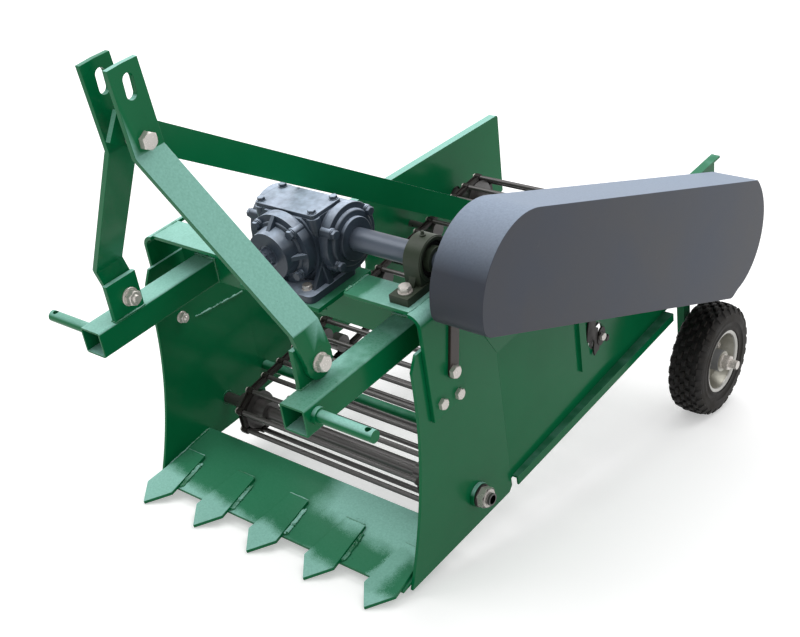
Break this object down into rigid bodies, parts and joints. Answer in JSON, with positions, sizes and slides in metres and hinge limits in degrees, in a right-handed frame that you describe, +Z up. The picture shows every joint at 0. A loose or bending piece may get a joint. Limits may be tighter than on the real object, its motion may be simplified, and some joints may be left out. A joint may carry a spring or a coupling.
{
  "type": "potato harvester",
  "caption": "Tractor-mounted potato harvester: toothed lifting blade, rod web between side plates, gearbox with side drive guard, hitch arms with mast, and rear wheels.",
  "frame": {"origin": "On the ground, midway between the machine's sides and midway along its length.", "axes": "+X to the side with the drive guard, +Y to the rear, away from the tractor, +Z up. The machine stands parked, nose down on its blade's teeth and its two wheels."},
  "size_m": [0.913, 1.5078, 0.9633],
  "materials": {
    "green_paint": "glossy enamel over rolled steel",
    "gearbox_cast": "dark slate paint over sand casting",
    "shaft_steel": "grey painted steel",
    "bearing_cast": "olive painted casting",
    "guard_paint": "satin blue-grey paint on sheet steel",
    "support_paint": "brown primer",
    "chain_steel": "oiled dark chain",
    "web_steel": "oiled dark steel rod",
    "zinc": "zinc plated",
    "tyre_rubber": "matt rubber with small blocks",
    "rim_steel": "silver pressed steel"
  },
  "bodies": {
    "frame": {"arm_lugs": "green_paint", "axle_bosses": "green_paint", "blade_plate": "green_paint", "chain_guard": "guard_paint", "cheek_plate_left": "green_paint", "cheek_plate_right": "green_paint", "cross_beam": "green_paint", "cross_shaft": "shaft_steel", "cross_tubes": "green_paint", "digging_teeth": "green_paint", "drive_shaft": "web_steel", "end_bracket_left": "green_paint", "end_bracket_right": "green_paint", "front_idlers": "web_steel", "gearbox_cover": "gearbox_cast", "gearbox_housing": "gearbox_cast", "gearbox_plate": "green_paint", "guard_back": "guard_paint", "guard_stands": "green_paint", "hitch_arm_left": "green_paint", "hitch_arm_right": "green_paint", "hitch_pins": "green_paint", "input_cap": "gearbox_cast", "input_shaft": "shaft_steel", "mast_bar_left": "green_paint", "mast_bar_right": "green_paint", "mast_bolts": "zinc", "output_caps": "gearbox_cast", "pillow_block": "bearing_cast", "rear_panel_left": "green_paint", "rear_panel_right": "green_paint", "shaft_bearings": "bearing_cast", "stay_bar": "green_paint", "support_bar": "support_paint", "web_chain_left": "chain_steel", "web_chain_right": "chain_steel", "web_rods": "web_steel", "web_rollers": "web_steel", "wheel_axles": "zinc", "wheel_leg_left": "green_paint", "wheel_leg_right": "green_paint"},
    "wheel_right": {"rim_right": "rim_steel", "tyre_right": "tyre_rubber"},
    "wheel_left": {"rim_left": "rim_steel", "tyre_left": "tyre_rubber"}
  },
  "joints": [
    {"name": "wheel_right_spin", "type": "hinge", "parent": "frame", "child": "wheel_right", "pos_m": [0.385, 0.60123, 0.13], "axis": [1, 0, 0], "continuous": true},
    {"name": "wheel_left_spin", "type": "hinge", "parent": "frame", "child": "wheel_left", "pos_m": [-0.385, 0.60123, 0.13], "axis": [1, 0, 0], "continuous": true}
  ]
}
